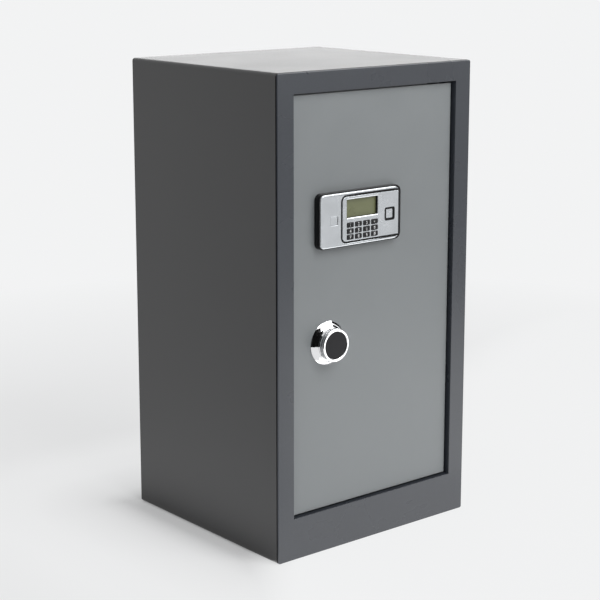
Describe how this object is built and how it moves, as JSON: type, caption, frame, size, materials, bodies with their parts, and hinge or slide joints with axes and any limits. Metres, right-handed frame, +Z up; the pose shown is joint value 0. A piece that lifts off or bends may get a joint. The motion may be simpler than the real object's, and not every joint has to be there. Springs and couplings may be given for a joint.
{
  "type": "electronic safe",
  "caption": "Tall steel safe with a recessed side-hinged door, a knob that throws its locking bolts, and a keypad panel with display, push keys and a capped key lock.",
  "frame": {"origin": "middle of the cabinet's underside", "axes": "+X to the right seen from the front, +Y to the back, +Z up; the door faces -Y"},
  "size_m": [0.37, 0.358, 0.7],
  "materials": {
    "charcoal_paint": "powder coat",
    "frame_paint": "powder coat",
    "door_paint": "satin",
    "bare_steel": "zinc plated",
    "chrome": "polished",
    "dark_cap": "satin",
    "black_housing": "gloss",
    "silver_plate": "brushed",
    "display": "satin",
    "key_rubber": "matte",
    "board": "satin",
    "dark_part": "matte",
    "grey_lead": "matte",
    "nylon": "matte",
    "brass": "machined",
    "winding": "enamelled",
    "cell": "gloss",
    "red_plastic": "gloss",
    "mat_felt": "felt"
  },
  "bodies": {
    "cabinet": {"outer_wrap": "charcoal_paint", "front_frame": "frame_paint", "back_panel": "charcoal_paint", "door_stops": "frame_paint", "pivot_bosses": "bare_steel", "thrust_washers": "dark_part", "shelf": "charcoal_paint", "shelf_brackets": "charcoal_paint", "floor_mat": "mat_felt"},
    "door": {"door_panel": "door_paint", "bolt_box": "charcoal_paint", "inner_cover": "charcoal_paint", "door_screws": "bare_steel", "hinge_blocks": "door_paint", "hinge_pins": "bare_steel", "hinge_side_pins": "bare_steel", "guide_studs": "bare_steel", "spindle_bush": "nylon", "knob_rosette": "chrome", "keypad_base": "black_housing", "faceplate": "silver_plate", "control_plate": "silver_plate", "lcd_bezel": "black_housing", "lcd_display": "display", "keypad_board": "board", "override_lock": "chrome", "cables": "grey_lead", "control_board": "board", "board_parts": "dark_part", "battery_box": "dark_part", "batteries": "cell", "solenoid_frame": "bare_steel", "solenoid_coil": "winding"},
    "bolt_work": {"bolt_bar": "bare_steel", "lock_bolts": "chrome", "bolt_screws": "bare_steel"},
    "knob_set": {"knob": "chrome", "knob_cap": "dark_cap", "spindle": "bare_steel", "crank_disc": "bare_steel", "spindle_nut": "bare_steel"},
    "plunger": {"solenoid_plunger": "bare_steel"},
    "lock_plug": {"override_plug": "brass", "override_cam": "bare_steel"},
    "keyhole_cover": {"keyhole_cap": "silver_plate"},
    "enter_key": {"enter_button": "silver_plate"},
    "battery_lid": {"battery_cover": "dark_part"},
    "reset_key": {"reset_button": "red_plastic"},
    "press_key_1": {"key_1": "key_rubber"},
    "press_key_2": {"key_2": "key_rubber"},
    "press_key_3": {"key_3": "key_rubber"},
    "press_key_star": {"key_star": "key_rubber"},
    "press_key_4": {"key_4": "key_rubber"},
    "press_key_5": {"key_5": "key_rubber"},
    "press_key_6": {"key_6": "key_rubber"},
    "press_key_0": {"key_0": "key_rubber"},
    "press_key_7": {"key_7": "key_rubber"},
    "press_key_8": {"key_8": "key_rubber"},
    "press_key_9": {"key_9": "key_rubber"},
    "press_key_hash": {"key_hash": "key_rubber"}
  },
  "joints": [
    {"name": "door_swing", "type": "hinge", "parent": "cabinet", "child": "door", "pos_m": [0.131, -0.154, 0.366], "axis": [0, 0, 1], "range_deg": [0, 110]},
    {"name": "knob_turn", "type": "hinge", "parent": "door", "child": "knob_set", "pos_m": [-0.087, -0.173, 0.31], "axis": [0, -1, 0], "range_deg": [0, 90]},
    {"name": "bolt_slide", "type": "slide", "parent": "door", "child": "bolt_work", "axis": [-1, 0, 0], "range_m": [0, 0.02]},
    {"name": "plunger_lift", "type": "slide", "parent": "door", "child": "plunger", "axis": [0, 0, 1], "range_m": [0, 0.006]},
    {"name": "override_turn", "type": "hinge", "parent": "door", "child": "lock_plug", "pos_m": [-0.08525, -0.173, 0.488], "axis": [0, -1, 0], "range_deg": [0, 90]},
    {"name": "keyhole_cap_pull", "type": "slide", "parent": "door", "child": "keyhole_cover", "axis": [0, -1, 0], "range_m": [0, 0.012]},
    {"name": "enter_press", "type": "slide", "parent": "door", "child": "enter_key", "axis": [0, 1, 0], "range_m": [0, 0.001], "stiffness_N_per_m": 800, "springref_m": -0.0005},
    {"name": "battery_cover_pull", "type": "slide", "parent": "door", "child": "battery_lid", "axis": [0, 1, 0], "range_m": [0, 0.012]},
    {"name": "reset_press", "type": "slide", "parent": "door", "child": "reset_key", "axis": [0, -1, 0], "range_m": [0, 0.0015], "stiffness_N_per_m": 800, "springref_m": -0.0005},
    {"name": "key_1_press", "type": "slide", "parent": "door", "child": "press_key_1", "axis": [0, 1, 0], "range_m": [0, 0.001], "stiffness_N_per_m": 800, "springref_m": -0.0005},
    {"name": "key_2_press", "type": "slide", "parent": "door", "child": "press_key_2", "axis": [0, 1, 0], "range_m": [0, 0.001], "stiffness_N_per_m": 800, "springref_m": -0.0005},
    {"name": "key_3_press", "type": "slide", "parent": "door", "child": "press_key_3", "axis": [0, 1, 0], "range_m": [0, 0.001], "stiffness_N_per_m": 800, "springref_m": -0.0005},
    {"name": "key_star_press", "type": "slide", "parent": "door", "child": "press_key_star", "axis": [0, 1, 0], "range_m": [0, 0.001], "stiffness_N_per_m": 800, "springref_m": -0.0005},
    {"name": "key_4_press", "type": "slide", "parent": "door", "child": "press_key_4", "axis": [0, 1, 0], "range_m": [0, 0.001], "stiffness_N_per_m": 800, "springref_m": -0.0005},
    {"name": "key_5_press", "type": "slide", "parent": "door", "child": "press_key_5", "axis": [0, 1, 0], "range_m": [0, 0.001], "stiffness_N_per_m": 800, "springref_m": -0.0005},
    {"name": "key_6_press", "type": "slide", "parent": "door", "child": "press_key_6", "axis": [0, 1, 0], "range_m": [0, 0.001], "stiffness_N_per_m": 800, "springref_m": -0.0005},
    {"name": "key_0_press", "type": "slide", "parent": "door", "child": "press_key_0", "axis": [0, 1, 0], "range_m": [0, 0.001], "stiffness_N_per_m": 800, "springref_m": -0.0005},
    {"name": "key_7_press", "type": "slide", "parent": "door", "child": "press_key_7", "axis": [0, 1, 0], "range_m": [0, 0.001], "stiffness_N_per_m": 800, "springref_m": -0.0005},
    {"name": "key_8_press", "type": "slide", "parent": "door", "child": "press_key_8", "axis": [0, 1, 0], "range_m": [0, 0.001], "stiffness_N_per_m": 800, "springref_m": -0.0005},
    {"name": "key_9_press", "type": "slide", "parent": "door", "child": "press_key_9", "axis": [0, 1, 0], "range_m": [0, 0.001], "stiffness_N_per_m": 800, "springref_m": -0.0005},
    {"name": "key_hash_press", "type": "slide", "parent": "door", "child": "press_key_hash", "axis": [0, 1, 0], "range_m": [0, 0.001], "stiffness_N_per_m": 800, "springref_m": -0.0005}
  ],
  "couplings": [
    {"joint": "knob_turn", "follows": "bolt_slide", "rad_per_m": 78.54}
  ]
}
